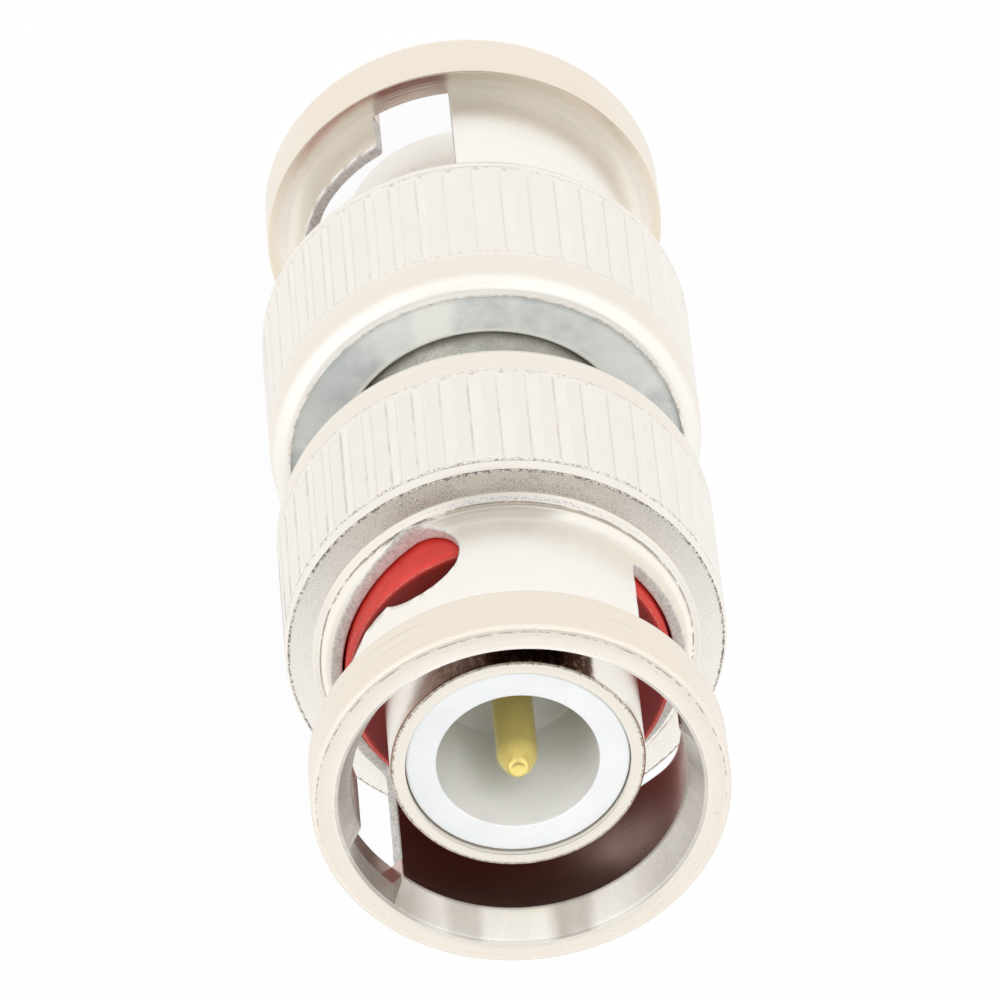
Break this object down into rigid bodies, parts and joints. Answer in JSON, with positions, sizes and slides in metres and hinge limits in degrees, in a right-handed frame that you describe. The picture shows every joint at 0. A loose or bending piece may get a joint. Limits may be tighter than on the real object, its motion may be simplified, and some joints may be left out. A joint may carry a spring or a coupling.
{
  "type": "coaxial bayonet plug-to-plug adapter",
  "caption": "Straight coaxial adapter with a bayonet plug at each end; both coupling nuts turn and pull out against springs.",
  "frame": {"origin": "centre of the lower coupling nut's front face, on the adapter's axis", "axes": "+Z along the axis from the lower plug to the upper plug; the adapter stands on its lower nut"},
  "size_m": [0.0144, 0.0144, 0.0334],
  "materials": {
    "bright_nickel": "bright nickel plate on die-cast metal, fine turning marks",
    "dull_nickel": "nickel plate, satin",
    "zinc": "blue-grey zinc plate, dull",
    "spring_steel": "plain spring steel",
    "white_insulator": "smooth white fluoropolymer, waxy",
    "red_silicone": "smooth red silicone rubber",
    "gold": "gold plate on brass"
  },
  "bodies": {
    "adapter": {"body": "dull_nickel", "centre_contact": "gold", "upper_insulator": "white_insulator", "upper_gasket": "red_silicone", "upper_snap_ring": "spring_steel", "upper_slip_washer": "spring_steel", "upper_wave_washer_1": "spring_steel", "upper_wave_washer_2": "spring_steel", "lower_insulator": "white_insulator", "lower_gasket": "red_silicone", "lower_snap_ring": "spring_steel", "lower_slip_washer": "spring_steel", "lower_wave_washer_1": "spring_steel", "lower_wave_washer_2": "spring_steel"},
    "upper_washer": {"upper_thrust_washer": "zinc"},
    "upper_nut": {"upper_coupling_nut": "bright_nickel"},
    "lower_washer": {"lower_thrust_washer": "zinc"},
    "lower_nut": {"lower_coupling_nut": "bright_nickel"}
  },
  "joints": [
    {"name": "upper_nut_pull", "type": "slide", "parent": "adapter", "child": "upper_washer", "axis": [0, 0, 1], "range_m": [0, 0.0008], "stiffness_N_per_m": 1000, "springref_m": -0.0015, "deforming": ["upper_wave_washer_1", "upper_wave_washer_2"]},
    {"name": "upper_nut_turn", "type": "hinge", "parent": "upper_washer", "child": "upper_nut", "pos_m": [0, 0, 0.03345], "axis": [0, 0, 1], "continuous": true},
    {"name": "lower_nut_pull", "type": "slide", "parent": "adapter", "child": "lower_washer", "axis": [0, 0, -1], "range_m": [0, 0.0008], "stiffness_N_per_m": 1000, "springref_m": -0.0015, "deforming": ["lower_wave_washer_1", "lower_wave_washer_2"]},
    {"name": "lower_nut_turn", "type": "hinge", "parent": "lower_washer", "child": "lower_nut", "pos_m": [0, 0, 0], "axis": [0, 0, -1], "continuous": true}
  ]
}
